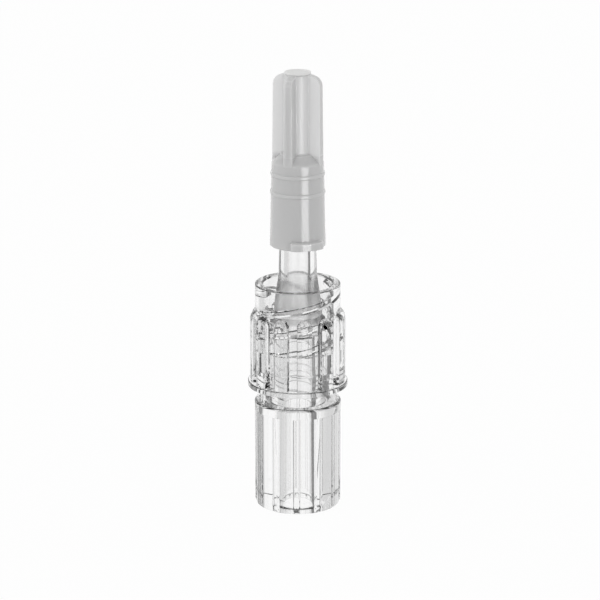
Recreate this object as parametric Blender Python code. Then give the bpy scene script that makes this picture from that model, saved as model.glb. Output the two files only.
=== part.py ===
"""Luer lock connector: a clear male luer with a tube socket, its loose threaded lock collar, and a
grey vented cap pushed on the cone.

The connector stands on the open end of its tube socket. +Z runs up the common axis and the origin is
the centre of the socket's end face. Sizes below are in millimetres. The camera side is -Y.
"""

import math

import bmesh
import bpy
from mathutils import Matrix

MM = 0.001

# Fineness of the turned surfaces. Both are multiples of the twelve grip ribs.
TURN_STEPS = 60
THREAD_STEPS_PER_TURN = 36

# How far a cutter runs past the stock, and how far a helper solid keeps off a face that it would share
CUT_OVERRUN = 0.5
SHIM = 0.01

# Luer cone: 6 % taper on the diameter, so 3 % on the radius
CONE_TIP_RADIUS = 1.975
CONE_TAPER = 0.03
CONE_HEIGHT = 7.7
CONE_TIP_CHAMFER = 0.15
FLARE_HEIGHT = 4.2
FLARE_POINTS = 7
LUMEN_TIP_RADIUS = 1.16
LUMEN_BASE_RADIUS = 1.30

# Internal thread of the collar: two starts, right-handed
THREAD_MAJOR_RADIUS = 4.0
THREAD_HEIGHT = 0.5
THREAD_STARTS = 2
THREAD_LEAD = 5.0
THREAD_ROOT_WIDTH = 0.90
THREAD_CREST_WIDTH = 0.40
THREAD_START_BELOW_RIM = 0.62
THREAD_START_ANGLE = math.radians(34)
THREAD_DEPTH = 7.8
THREAD_SINK = 0.1
LOWER_BORE_STEP = 0.02

# Lock collar
COLLAR_HEIGHT = 12.25
COLLAR_WALL = 0.94
COLLAR_FLOOR_THICKNESS = 1.95
COLLAR_FLANGE_THICKNESS = 0.65
COLLAR_FLANGE_OVERHANG = 0.28
COLLAR_MOUTH_CHAMFER = 0.17
COLLAR_EDGE = 0.12
GRIP_COUNT = 12
GRIP_HEIGHT = 0.59
GRIP_WIDTH = 1.65
GRIP_FLANK_SLOPE = 0.10
GRIP_TOP_BELOW_RIM = 3.25
GRIP_CROWN = 1.1
GRIP_ANGLE = math.radians(-81.5)
GROOVE_DEPTH = 0.14
GROOVE_TOP_BELOW_RIM = 3.65

# How the collar runs on the body
SHOULDER_CLEARANCE = 0.26
SNAP_BITE = 0.22
RUNNING_CLEARANCE = 0.10
SEAT_GAP = 0.05
COLLAR_TRAVEL = 5.5
SUPPORT_LEDGE = 0.20
SUPPORT_HEIGHT = 1.68
SHOULDER_HEIGHT = 0.75
SHOULDER_LEAD_IN = 0.45
HUB_RADIUS = 2.70
HUB_HEIGHT = 0.95

# Tube socket
BARREL_RADIUS = 4.85
BARREL_HEIGHT = 11.6
BARREL_END_CHAMFER = 0.22
BARREL_RIB_COUNT = 12
BARREL_RIB_HEIGHT = 0.15
BARREL_RIB_WIDTH = 0.45
BARREL_RIB_ROOT_WIDTH = 0.92
BARREL_RIB_ANGLE = math.radians(-91.5)
BARREL_FLANGE_OVERHANG = 0.19
BARREL_FLANGE_THICKNESS = 1.12
BARREL_FLANGE_EDGE = 0.20
FLANGE_RECESS_WIDTH = 0.50
FLANGE_RECESS_DEPTH = 0.22
SOCKET_RADIUS = 1.76
SOCKET_END_RADIUS = 1.60
SOCKET_DEPTH = 20.6
SOCKET_LEAD_IN = 0.14

# Vented cap
CAP_ENGAGEMENT = 4.7
CAP_RADIAL_GAP = 0.04
CAP_BORE_BEYOND_TIP = 0.9
CAP_MOUTH_RADIUS = 3.22
CAP_SHOULDER_RADIUS = 2.98
CAP_SKIRT_HEIGHT = 9.8
CAP_SHOULDER_HEIGHT = 1.05
CAP_SHOULDER_LEDGE = 0.38
CAP_SHOULDER_ROUND = 0.05
CAP_HEIGHT = 19.92
CAP_MOUTH_EDGE = 0.15
RING_HEIGHT = 0.11
RING_WIDTH = 0.50
RING_LEVELS = (6.3, 8.45)
CORE_RADIUS = 1.55
CORE_EDGE = 0.06
VENT_RADIUS = 0.65
FIN_COUNT = 4
FIN_FOOT_RADIUS = 2.97
FIN_TOP_RADIUS = 2.87
FIN_FOOT_THICKNESS = 1.08
FIN_TOP_THICKNESS = 0.86
FIN_CORNER_RADIUS = 1.15
FIN_BELOW_TOP = 0.12
FIN_ROOT_DEPTH = 0.6
FIN_ANGLE = math.radians(-113)
LUG_COUNT = 2
LUG_RADIUS = 3.87
LUG_HEIGHT = 1.05
LUG_TIP_HEIGHT = 0.80
LUG_SPAN = math.radians(62)
LUG_ANGLE = math.radians(-71)
LUG_STEPS = 10
LUG_SINK = 0.4

# Vent filter, a dished porous disc that lies on the top of the cap and covers its vent
FILTER_RADIUS = 1.50
FILTER_THICKNESS = 0.22
FILTER_EDGE = 0.05
FILTER_DISH_RADIUS = 1.18
FILTER_DISH_DEPTH = 0.12
FILTER_SEAT_GAP = 0.02

# Levels on the axis, stacked from the socket's end face at zero
FLANGE_TOP = BARREL_HEIGHT + BARREL_FLANGE_THICKNESS
SUPPORT_TOP = FLANGE_TOP + SUPPORT_HEIGHT
COLLAR_BOTTOM = SUPPORT_TOP + SEAT_GAP
COLLAR_FLOOR = COLLAR_BOTTOM + COLLAR_FLOOR_THICKNESS
COLLAR_RIM = COLLAR_BOTTOM + COLLAR_HEIGHT
SHOULDER_BOTTOM = COLLAR_FLOOR + COLLAR_TRAVEL
SHOULDER_TOP = SHOULDER_BOTTOM + SHOULDER_HEIGHT
HUB_TOP = SHOULDER_TOP + SHOULDER_LEAD_IN + HUB_HEIGHT
CONE_BASE = HUB_TOP + FLARE_HEIGHT
CONE_TIP = CONE_BASE + CONE_HEIGHT
CAP_MOUTH = CONE_TIP - CAP_ENGAGEMENT
CAP_TOP = CAP_MOUTH + CAP_HEIGHT

# Radii that follow from the thread and the clearances
THREAD_MINOR_RADIUS = THREAD_MAJOR_RADIUS - THREAD_HEIGHT
LOWER_BORE_RADIUS = THREAD_MINOR_RADIUS - LOWER_BORE_STEP
COLLAR_RADIUS = THREAD_MAJOR_RADIUS + COLLAR_WALL
GROOVE_RADIUS = COLLAR_RADIUS - GROOVE_DEPTH
GRIP_RADIUS = COLLAR_RADIUS + GRIP_HEIGHT
COLLAR_FLANGE_RADIUS = GRIP_RADIUS + COLLAR_FLANGE_OVERHANG
SHOULDER_RADIUS = LOWER_BORE_RADIUS - SHOULDER_CLEARANCE
COLLAR_HOLE_RADIUS = SHOULDER_RADIUS - SNAP_BITE
JOURNAL_RADIUS = COLLAR_HOLE_RADIUS - RUNNING_CLEARANCE
SUPPORT_RADIUS = COLLAR_HOLE_RADIUS + SUPPORT_LEDGE
BARREL_FLANGE_RADIUS = BARREL_RADIUS + BARREL_FLANGE_OVERHANG


def clear_scene():
    """Remove the objects of the start-up scene."""
    for old in list(bpy.data.objects):
        bpy.data.objects.remove(old)


def plastic(name, colour, roughness, alpha=1.0):
    """A moulded plastic: a Principled surface with its colour, roughness and see-through share."""
    made = bpy.data.materials.new(name)
    made.use_nodes = True
    surface = made.node_tree.nodes["Principled BSDF"]
    surface.inputs["Base Color"].default_value = (*colour, 1.0)
    surface.inputs["Roughness"].default_value = roughness
    surface.inputs["Metallic"].default_value = 0.0
    surface.inputs["Alpha"].default_value = alpha
    return made


def object_from(mesh_in_mm, name, material=None):
    """Turn a bmesh in millimetres into an object in metres, with outward faces."""
    bmesh.ops.recalc_face_normals(mesh_in_mm, faces=mesh_in_mm.faces)
    bmesh.ops.scale(mesh_in_mm, vec=(MM, MM, MM), verts=mesh_in_mm.verts)
    mesh = bpy.data.meshes.new(name)
    mesh_in_mm.to_mesh(mesh)
    mesh_in_mm.free()
    made = bpy.data.objects.new(name, mesh)
    bpy.context.scene.collection.objects.link(made)
    if material:
        mesh.materials.append(material)
    return made


def smooth(made):
    """Shade the turned surfaces smooth and keep the real edges sharp."""
    made.data.shade_smooth()
    made.data.set_sharp_from_angle(angle=math.radians(30))


def helper(made):
    """Mark an operand of a Boolean, which is no piece of the product."""
    made.hide_render = True
    made.display_type = "WIRE"
    return made


def combine(target, operation, tool):
    """Join, cut or intersect the target with a helper solid."""
    modifier = target.modifiers.new(tool.name, "BOOLEAN")
    modifier.operation = operation
    modifier.solver = "EXACT"
    modifier.object = tool


def turned(profile, closed=True):
    """Spin a (radius, height) profile round Z. A closed one makes a ring, an open one starts and
    ends on the axis."""
    spun = bmesh.new()
    points = [spun.verts.new((radius, 0.0, height)) for radius, height in profile]
    ends = points[1:] + points[:1] if closed else points[1:]
    edges = [spun.edges.new(pair) for pair in zip(points, ends)]
    bmesh.ops.spin(
        spun,
        geom=points + edges,
        cent=(0, 0, 0),
        axis=(0, 0, 1),
        angle=math.tau,
        steps=TURN_STEPS,
        use_merge=True,
    )
    bmesh.ops.remove_doubles(spun, verts=spun.verts, dist=1e-5)
    return spun


def swept(section, steps, turn, rise, start_turn, start_rise):
    """Extrude a closed (radius, height) section along a helix about Z and cap both ends."""
    made = bmesh.new()
    rings = []
    for step in range(steps + 1):
        share = step / steps
        angle = start_turn + turn * share
        lift = start_rise + rise * share
        ring = [
            made.verts.new((radius * math.cos(angle), radius * math.sin(angle), height + lift))
            for radius, height in section
        ]
        rings.append(ring)
    for near, far in zip(rings, rings[1:]):
        for corner in range(len(section)):
            following = (corner + 1) % len(section)
            made.faces.new((near[corner], near[following], far[following], far[corner]))
    made.faces.new(rings[0])
    made.faces.new(rings[-1][::-1])
    return made


def plate(outline, thickness_at):
    """A flat plate in the XZ plane from an (x, z) outline, as thick as asked for at each height."""
    made = bmesh.new()
    front = [made.verts.new((x, -thickness_at(z) / 2, z)) for x, z in outline]
    face = made.faces.new(front)
    grown = bmesh.ops.extrude_face_region(made, geom=[face])
    for item in grown["geom"]:
        if isinstance(item, bmesh.types.BMVert):
            item.co.y = thickness_at(item.co.z) / 2
    return made


def stave(outline, inner, outer, spread):
    """A bar along +X from a (y, z) outline, wider at its inner end by the spread."""
    made = bmesh.new()
    near = [made.verts.new((inner, y + math.copysign(spread, y), z)) for y, z in outline]
    far = [made.verts.new((outer, y, z)) for y, z in outline]
    made.faces.new(near)
    made.faces.new(far[::-1])
    for one, two in zip(range(len(outline)), [*range(1, len(outline)), 0]):
        made.faces.new((near[one], near[two], far[two], far[one]))
    return made


def ringed(piece, count, first_angle):
    """Copy one solid around Z, evenly spaced, and free the original."""
    pattern = bmesh.new()
    source = bpy.data.meshes.new("pattern_unit")
    piece.to_mesh(source)
    piece.free()
    for index in range(count):
        before = len(pattern.verts)
        pattern.from_mesh(source)
        pattern.verts.ensure_lookup_table()
        turn = Matrix.Rotation(first_angle + math.tau * index / count, 4, "Z")
        bmesh.ops.transform(pattern, matrix=turn, verts=pattern.verts[before:])
    bpy.data.meshes.remove(source)
    return pattern


def arc(centre, radii, start, end, count):
    """Points on an ellipse's arc, both ends included. Angles are in degrees."""
    turns = [math.radians(start + (end - start) * step / count) for step in range(count + 1)]
    return [
        (centre[0] + radii[0] * math.cos(turn), centre[1] + radii[1] * math.sin(turn))
        for turn in turns
    ]


def cone_radius(height):
    """Radius of the luer cone at a height, also past its ends."""
    return CONE_TIP_RADIUS + CONE_TAPER * (CONE_TIP - height)


def flare_points():
    """The smooth foot that joins the hub to the cone, from the bottom up."""
    points = []
    for step in range(FLARE_POINTS + 1):
        share = step / FLARE_POINTS
        height = HUB_TOP + FLARE_HEIGHT * share
        blend = share * share * (3 - 2 * share)
        points.append((HUB_RADIUS + (cone_radius(CONE_BASE) - HUB_RADIUS) * blend, height))
    return points


def luer_body(material):
    """The one-piece moulding: ribbed tube socket, flange, journal, snap shoulder and luer cone."""
    recess_outer = SUPPORT_RADIUS + FLANGE_RECESS_WIDTH
    lumen_step = SOCKET_END_RADIUS - LUMEN_BASE_RADIUS
    outside = [
        (BARREL_RADIUS - BARREL_END_CHAMFER, 0.0),
        (BARREL_RADIUS, BARREL_END_CHAMFER),
        (BARREL_RADIUS, BARREL_HEIGHT),
        (BARREL_FLANGE_RADIUS, BARREL_HEIGHT),
        (BARREL_FLANGE_RADIUS, FLANGE_TOP - BARREL_FLANGE_EDGE),
        (BARREL_FLANGE_RADIUS - BARREL_FLANGE_EDGE, FLANGE_TOP),
        (recess_outer, FLANGE_TOP),
        (recess_outer - FLANGE_RECESS_DEPTH, FLANGE_TOP - FLANGE_RECESS_DEPTH),
        (SUPPORT_RADIUS, FLANGE_TOP - FLANGE_RECESS_DEPTH),
        (SUPPORT_RADIUS, SUPPORT_TOP),
        (JOURNAL_RADIUS, SUPPORT_TOP),
        (JOURNAL_RADIUS, SHOULDER_BOTTOM),
        (SHOULDER_RADIUS, SHOULDER_BOTTOM),
        (SHOULDER_RADIUS, SHOULDER_TOP),
        (HUB_RADIUS, SHOULDER_TOP + SHOULDER_LEAD_IN),
        *flare_points(),
        (cone_radius(CONE_TIP - CONE_TIP_CHAMFER), CONE_TIP - CONE_TIP_CHAMFER),
        (CONE_TIP_RADIUS - CONE_TIP_CHAMFER, CONE_TIP),
    ]
    inside = [
        (LUMEN_TIP_RADIUS, CONE_TIP),
        (LUMEN_BASE_RADIUS, SOCKET_DEPTH + lumen_step),
        (SOCKET_END_RADIUS, SOCKET_DEPTH),
        (SOCKET_RADIUS, SOCKET_LEAD_IN),
        (SOCKET_RADIUS + SOCKET_LEAD_IN, 0.0),
    ]
    body = object_from(turned(outside + inside), "luer_body", material)
    combine(body, "UNION", barrel_ribs())
    smooth(body)
    return body


def barrel_ribs():
    """Twelve fine ribs down the tube socket, run out at its lower end."""
    sink = BARREL_RADIUS - BARREL_RIB_ROOT_WIDTH / 2
    tip = BARREL_RADIUS + BARREL_RIB_HEIGHT
    foot = BARREL_END_CHAMFER + BARREL_RIB_HEIGHT
    flange_sink = BARREL_HEIGHT + BARREL_FLANGE_THICKNESS / 2
    side = [(sink, foot), (BARREL_RADIUS, foot - BARREL_RIB_HEIGHT)]
    side += [(tip, foot), (tip, flange_sink), (sink, flange_sink)]
    rib = bmesh.new()
    half_root, half_tip = BARREL_RIB_ROOT_WIDTH / 2, BARREL_RIB_WIDTH / 2
    left, right = [], []
    for radius, height in side:
        half = half_tip if radius == tip else half_root
        left.append(rib.verts.new((radius, half, height)))
        right.append(rib.verts.new((radius, -half, height)))
    rib.faces.new(left)
    rib.faces.new(right[::-1])
    for near, far in zip(range(len(side)), [*range(1, len(side)), 0]):
        rib.faces.new((left[near], right[near], right[far], left[far]))
    ribs = ringed(rib, BARREL_RIB_COUNT, BARREL_RIB_ANGLE)
    return helper(object_from(ribs, "barrel_ribs"))


def lock_collar(material):
    """The threaded collar that turns on the journal, with its grip ribs and foot flange."""
    flange_top = COLLAR_BOTTOM + COLLAR_FLANGE_THICKNESS
    thread_end = COLLAR_RIM - THREAD_DEPTH
    groove_top = COLLAR_RIM - GROOVE_TOP_BELOW_RIM
    shell = [
        (COLLAR_HOLE_RADIUS, COLLAR_BOTTOM),
        (COLLAR_FLANGE_RADIUS - COLLAR_EDGE, COLLAR_BOTTOM),
        (COLLAR_FLANGE_RADIUS, COLLAR_BOTTOM + COLLAR_EDGE),
        (COLLAR_FLANGE_RADIUS, flange_top - COLLAR_EDGE),
        (COLLAR_FLANGE_RADIUS - COLLAR_EDGE, flange_top),
        (GROOVE_RADIUS, flange_top),
        (GROOVE_RADIUS, groove_top - GROOVE_DEPTH),
        (COLLAR_RADIUS, groove_top),
        (COLLAR_RADIUS, COLLAR_RIM - COLLAR_EDGE),
        (COLLAR_RADIUS - COLLAR_EDGE, COLLAR_RIM),
        (THREAD_MAJOR_RADIUS + COLLAR_MOUTH_CHAMFER, COLLAR_RIM),
        (THREAD_MAJOR_RADIUS, COLLAR_RIM - COLLAR_MOUTH_CHAMFER),
        (THREAD_MAJOR_RADIUS, thread_end),
        (LOWER_BORE_RADIUS, thread_end),
        (LOWER_BORE_RADIUS, COLLAR_FLOOR),
        (COLLAR_HOLE_RADIUS, COLLAR_FLOOR),
    ]
    collar = object_from(turned(shell), "lock_collar", material)
    combine(collar, "UNION", grip_ribs())
    for start in range(THREAD_STARTS):
        combine(collar, "UNION", thread_ridge(start))
    smooth(collar)
    return collar


def grip_ribs():
    """Twelve broad ribs with arched heads, trimmed by a turned envelope that rounds them off."""
    half = GRIP_WIDTH / 2
    foot = COLLAR_BOTTOM + COLLAR_FLANGE_THICKNESS / 2
    head = COLLAR_RIM - GRIP_TOP_BELOW_RIM
    arch = arc((0.0, head - half), (half, half), 0, 180, 10)
    outline = [(half, foot), *arch, (-half, foot)]
    inner = THREAD_MAJOR_RADIUS + COLLAR_WALL / 3
    outer = GRIP_RADIUS + GRIP_HEIGHT
    ribs = ringed(stave(outline, inner, outer, GRIP_FLANK_SLOPE), GRIP_COUNT, GRIP_ANGLE)
    made = helper(object_from(ribs, "grip_ribs"))
    combine(made, "INTERSECT", grip_envelope(inner, foot, head))
    return made


def grip_envelope(inner, foot, head):
    """The ring that limits the grip ribs, with a rounded shoulder at the top."""
    crown = arc((COLLAR_RADIUS, head - GRIP_CROWN), (GRIP_HEIGHT, GRIP_CROWN), 0, 90, 6)
    ring = [
        (inner + SHIM, foot + SHIM),
        (GRIP_RADIUS, foot + SHIM),
        *crown,
        (inner + SHIM, head),
    ]
    return helper(object_from(turned(ring), "grip_envelope"))


def thread_ridge(start):
    """One start of the internal thread, blunt at the mouth and run out into the lower ledge."""
    half_root, half_crest = THREAD_ROOT_WIDTH / 2, THREAD_CREST_WIDTH / 2
    sunk_root = THREAD_MAJOR_RADIUS + THREAD_SINK
    flank = (half_root - half_crest) / THREAD_HEIGHT
    half_sunk = half_root + flank * THREAD_SINK
    section = [
        (sunk_root, -half_sunk),
        (THREAD_MINOR_RADIUS, -half_crest),
        (THREAD_MINOR_RADIUS, half_crest),
        (sunk_root, half_sunk),
    ]
    first_level = COLLAR_RIM - THREAD_START_BELOW_RIM
    last_level = COLLAR_RIM - THREAD_DEPTH - half_root - THREAD_SINK
    drop = first_level - last_level
    steps = round(THREAD_STEPS_PER_TURN * drop / THREAD_LEAD)
    ridge = swept(
        section,
        steps,
        -math.tau * drop / THREAD_LEAD,
        -drop,
        THREAD_START_ANGLE + math.tau * start / THREAD_STARTS,
        first_level,
    )
    return helper(object_from(ridge, f"thread_ridge_{start + 1}"))


def ring_profile(level, radius):
    """A thin half-round ring on the cap's skirt at a height above its mouth."""
    centre = CAP_MOUTH + level
    return arc((radius, centre), (RING_HEIGHT, RING_WIDTH / 2), -90, 90, 4)


def skirt_radius(level):
    """Outside radius of the cap's skirt at a height above its mouth."""
    return CAP_MOUTH_RADIUS + (CAP_SHOULDER_RADIUS - CAP_MOUTH_RADIUS) * level / CAP_SKIRT_HEIGHT


def vent_cap(material):
    """The vented cap: a taper socket with lock lugs below, a finned finger grip above."""
    shoulder = CAP_MOUTH + CAP_SKIRT_HEIGHT
    rings = []
    for level in RING_LEVELS:
        rings += ring_profile(level, skirt_radius(level))
    outside = [
        (0.0, CAP_MOUTH),
        (CAP_MOUTH_RADIUS - CAP_MOUTH_EDGE, CAP_MOUTH),
        (CAP_MOUTH_RADIUS, CAP_MOUTH + CAP_MOUTH_EDGE),
        *rings,
        (CAP_SHOULDER_RADIUS, shoulder),
        (CORE_RADIUS + CAP_SHOULDER_LEDGE, shoulder + CAP_SHOULDER_HEIGHT - CAP_SHOULDER_ROUND),
        (CORE_RADIUS, shoulder + CAP_SHOULDER_HEIGHT),
        (CORE_RADIUS, CAP_TOP - CORE_EDGE),
        (CORE_RADIUS - CORE_EDGE, CAP_TOP),
        (0.0, CAP_TOP),
    ]
    cap = object_from(turned(outside, closed=False), "vent_cap", material)
    combine(cap, "UNION", finger_fins(shoulder))
    combine(cap, "UNION", lock_lugs())
    combine(cap, "DIFFERENCE", cap_bore())
    smooth(cap)
    return cap


def finger_fins(shoulder):
    """Four drafted fins in a cross round the cap's core, with round upper corners."""
    foot = shoulder - FIN_ROOT_DEPTH
    head = CAP_TOP - FIN_BELOW_TOP
    corner = FIN_CORNER_RADIUS
    outer = arc((FIN_TOP_RADIUS - corner, head - corner), (corner, corner), 0, 90, 6)
    outline = [(VENT_RADIUS / 2, foot), (FIN_FOOT_RADIUS, foot), *outer, (VENT_RADIUS / 2, head)]

    def thickness_at(height):
        share = (height - foot) / (head - foot)
        return FIN_FOOT_THICKNESS + (FIN_TOP_THICKNESS - FIN_FOOT_THICKNESS) * share

    fin = plate(outline, thickness_at)
    return helper(object_from(ringed(fin, FIN_COUNT, FIN_ANGLE), "finger_fins"))


def lock_lugs():
    """The two lugs at the cap's mouth that a lock collar's thread would draw down."""
    inner = CAP_MOUTH_RADIUS - LUG_SINK
    slope = (LUG_HEIGHT - LUG_TIP_HEIGHT) / 2
    section = [
        (inner, 0.0),
        (CAP_MOUTH_RADIUS, 0.0),
        (LUG_RADIUS, slope),
        (LUG_RADIUS, LUG_HEIGHT - slope),
        (CAP_MOUTH_RADIUS, LUG_HEIGHT),
        (inner, LUG_HEIGHT),
    ]
    lug = swept(section, LUG_STEPS, LUG_SPAN, 0.0, LUG_ANGLE - LUG_SPAN / 2, CAP_MOUTH + SHIM)
    return helper(object_from(ringed(lug, LUG_COUNT, 0.0), "lock_lugs"))


def cap_bore():
    """The cutter for the cap's inside: taper socket and vent bore."""
    bore_top = CONE_TIP + CAP_BORE_BEYOND_TIP
    cutter = [
        (0.0, CAP_MOUTH - CUT_OVERRUN),
        (cone_radius(CAP_MOUTH - CUT_OVERRUN) + CAP_RADIAL_GAP, CAP_MOUTH - CUT_OVERRUN),
        (cone_radius(bore_top) + CAP_RADIAL_GAP, bore_top),
        (VENT_RADIUS, bore_top),
        (VENT_RADIUS, CAP_TOP + CUT_OVERRUN),
        (0.0, CAP_TOP + CUT_OVERRUN),
    ]
    return helper(object_from(turned(cutter, closed=False), "cap_bore"))


def vent_filter(material):
    """The dished porous disc that lets air out of the cap and holds liquid back."""
    bottom = CAP_TOP + FILTER_SEAT_GAP
    rim = bottom + FILTER_THICKNESS
    profile = [
        (0.0, bottom),
        (FILTER_RADIUS, bottom),
        (FILTER_RADIUS, rim - FILTER_EDGE),
        (FILTER_RADIUS - FILTER_EDGE, rim),
        (FILTER_DISH_RADIUS + FILTER_EDGE, rim),
        (FILTER_DISH_RADIUS, rim - FILTER_DISH_DEPTH),
        (0.0, rim - FILTER_DISH_DEPTH),
    ]
    disc = object_from(turned(profile, closed=False), "vent_filter", material)
    smooth(disc)
    return disc


def main():
    """Build the four pieces of the connector."""
    clear_scene()
    clear_plastic = plastic("clear_copolyester", (0.95, 0.96, 0.96), 0.06, alpha=0.35)
    grey_plastic = plastic("translucent_grey_polyethylene", (0.46, 0.46, 0.46), 0.35)
    white_membrane = plastic("white_porous_membrane", (0.9, 0.9, 0.88), 0.8)
    luer_body(clear_plastic)
    lock_collar(clear_plastic)
    vent_cap(grey_plastic)
    vent_filter(white_membrane)


main()
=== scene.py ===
"""Looks of the luer lock connector: clear moulded body and collar, grey vented cap, white filter.

Each piece is turned from a finely rounded profile, and Geometry Nodes raise its ribs, fins, lugs and
thread from that turned skin. Sizes are in millimetres until a mesh is made. The camera side is -Y.
"""
import logging
import math
from dataclasses import dataclass
from enum import Enum
from typing import Optional, Sequence

import bmesh
import bpy
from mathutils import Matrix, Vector


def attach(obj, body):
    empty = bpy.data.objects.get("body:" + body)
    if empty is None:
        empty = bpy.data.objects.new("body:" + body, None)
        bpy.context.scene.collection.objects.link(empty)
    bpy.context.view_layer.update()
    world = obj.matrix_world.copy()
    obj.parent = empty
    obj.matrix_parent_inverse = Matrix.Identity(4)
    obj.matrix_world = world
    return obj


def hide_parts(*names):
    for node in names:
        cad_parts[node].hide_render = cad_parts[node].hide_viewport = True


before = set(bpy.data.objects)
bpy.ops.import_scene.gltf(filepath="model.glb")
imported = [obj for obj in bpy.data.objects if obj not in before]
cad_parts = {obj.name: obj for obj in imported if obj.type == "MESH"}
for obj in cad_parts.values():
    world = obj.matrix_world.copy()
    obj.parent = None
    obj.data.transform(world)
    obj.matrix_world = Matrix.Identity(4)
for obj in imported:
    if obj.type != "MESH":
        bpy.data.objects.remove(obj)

MM = 0.001
ARC_STEPS = 4           # straight parts of a rounded corner
LONGEST_FILLET = 0.45   # of the shorter run that meets at the corner
WELD_DISTANCE = 0.0005  # millimetres
log = logging.getLogger("luer_connector")


class Skin(Enum):
    """Which part of a turned surface a point belongs to, stored as a number on the mesh."""

    PLAIN = 0
    RIBBED = 1
    THREADED = 2
    LUGGED = 3


class Node(Enum):
    """The CAD nodes that the dressed pieces stand for."""

    BODY = "luer_body"
    COLLAR = "lock_collar"
    CAP = "vent_cap"
    FILTER = "vent_filter"


def linear(hex_colour: str) -> tuple[float, float, float, float]:
    """Convert an sRGB hex colour to linear light.

    Args:
        hex_colour: Six hex digits, such as "b9b9b8".

    Returns:
        The red, green, blue and alpha values.
    """
    values = [int(hex_colour[place:place + 2], 16) / 255 for place in (0, 2, 4)]
    bent = [v / 12.92 if v <= 0.04045 else ((v + 0.055) / 1.055) ** 2.4 for v in values]
    return (*bent, 1.0)


def add_node(tree: bpy.types.NodeTree, kind: str, inputs: Optional[dict] = None,
             **settings: object) -> bpy.types.Node:
    """Add a node, set its properties and fill or link its inputs.

    Args:
        tree: The node tree that gets the node.
        kind: The node's type name.
        inputs: Values, sockets or fields by socket name or number.
        **settings: Properties of the node itself.

    Returns:
        The new node.
    """
    node = tree.nodes.new(kind)
    for name, value in settings.items():
        setattr(node, name, value)
    for key, value in (inputs or {}).items():
        if isinstance(value, Field):
            value = value.socket
        if isinstance(value, bpy.types.NodeSocket):
            tree.links.new(value, node.inputs[key])
        else:
            node.inputs[key].default_value = value
    return node


class Field:
    """A number that flows through a node tree. Arithmetic on it adds Math nodes."""

    def __init__(self, tree: bpy.types.NodeTree, socket: bpy.types.NodeSocket) -> None:
        """Wrap an output socket.

        Args:
            tree: The tree the socket is in.
            socket: The output socket that carries the number.
        """
        self.tree = tree
        self.socket = socket

    def math(self, operation: str, *others: "Field | float", clamp: bool = False) -> "Field":
        """Add a Math node that takes this number first.

        Args:
            operation: The Math node's operation.
            *others: The other operands.
            clamp: Whether the result is kept between 0 and 1.

        Returns:
            The result.
        """
        operands = dict(enumerate((self, *others)))
        node = add_node(self.tree, "ShaderNodeMath", operands, operation=operation, use_clamp=clamp)
        return Field(self.tree, node.outputs[0])

    def __add__(self, other: "Field | float") -> "Field":
        """Return this number plus another."""
        return self.math("ADD", other)

    def __sub__(self, other: "Field | float") -> "Field":
        """Return this number minus another."""
        return self.math("SUBTRACT", other)

    def __mul__(self, other: "Field | float") -> "Field":
        """Return this number times another."""
        return self.math("MULTIPLY", other)

    def __truediv__(self, other: "Field | float") -> "Field":
        """Return this number divided by another."""
        return self.math("DIVIDE", other)

    def ramp(self, start: "Field | float", end: "Field | float", kind: str = "SMOOTHSTEP") -> "Field":
        """Rise from 0 at the start to 1 at the end, and stay there.

        Args:
            start: Where the result is 0.
            end: Where the result is 1.
            kind: How it rises between them.

        Returns:
            The share between 0 and 1.
        """
        node = add_node(self.tree, "ShaderNodeMapRange", {"Value": self, "From Min": start, "From Max": end},
                        interpolation_type=kind)
        return Field(self.tree, node.outputs["Result"])


@dataclass(frozen=True)
class Corner:
    """A corner of a turned profile.

    Radius and height place it, fillet rounds it, and skin says what happens to the surface between
    this corner and the next one.
    """

    radius: float
    height: float
    fillet: float = 0.0
    skin: Skin = Skin.PLAIN


def fillet_points(before: Vector, at: Vector, after: Vector, size: float) -> list[Vector]:
    """Round one corner of a profile with a short arc.

    Args:
        before: The corner before it.
        at: The corner itself.
        after: The corner after it.
        size: How far from the corner the arc starts and ends.

    Returns:
        The points that take the corner's place.
    """
    into, out = before - at, after - at
    reach = min(size, into.length * LONGEST_FILLET, out.length * LONGEST_FILLET)
    if reach < 1e-4:
        return [at]
    start, end = at + into.normalized() * reach, at + out.normalized() * reach
    shares = (step / ARC_STEPS for step in range(ARC_STEPS + 1))
    return [start.lerp(at, share).lerp(at.lerp(end, share), share) for share in shares]


def outline(corners: Sequence[Corner], closed: bool, step: float) -> list[tuple[Vector, Skin]]:
    """Round a profile's corners and fill its long runs with points.

    Args:
        corners: The profile, in order.
        closed: Whether the last corner joins the first.
        step: The longest distance between two points.

    Returns:
        The points with the skin each of them belongs to.
    """
    spots = [Vector((corner.radius, corner.height)) for corner in corners]
    runs: list[tuple[list[Vector], Skin]] = []
    for index, corner in enumerate(corners):
        inner = closed or 0 < index < len(corners) - 1
        if inner and corner.fillet:
            before, after = spots[index - 1], spots[(index + 1) % len(spots)]
            runs.append((fillet_points(before, spots[index], after, corner.fillet), corner.skin))
        else:
            runs.append(([spots[index]], corner.skin))
    points: list[tuple[Vector, Skin]] = []
    for index, (run, skin) in enumerate(runs):
        points += [(point, skin) for point in run]
        if index == len(runs) - 1 and not closed:
            break
        start, end = run[-1], runs[(index + 1) % len(runs)][0][0]
        count = max(1, math.ceil((end - start).length / step))
        points += [(start.lerp(end, part / count), skin) for part in range(1, count)]
    return points


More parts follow.
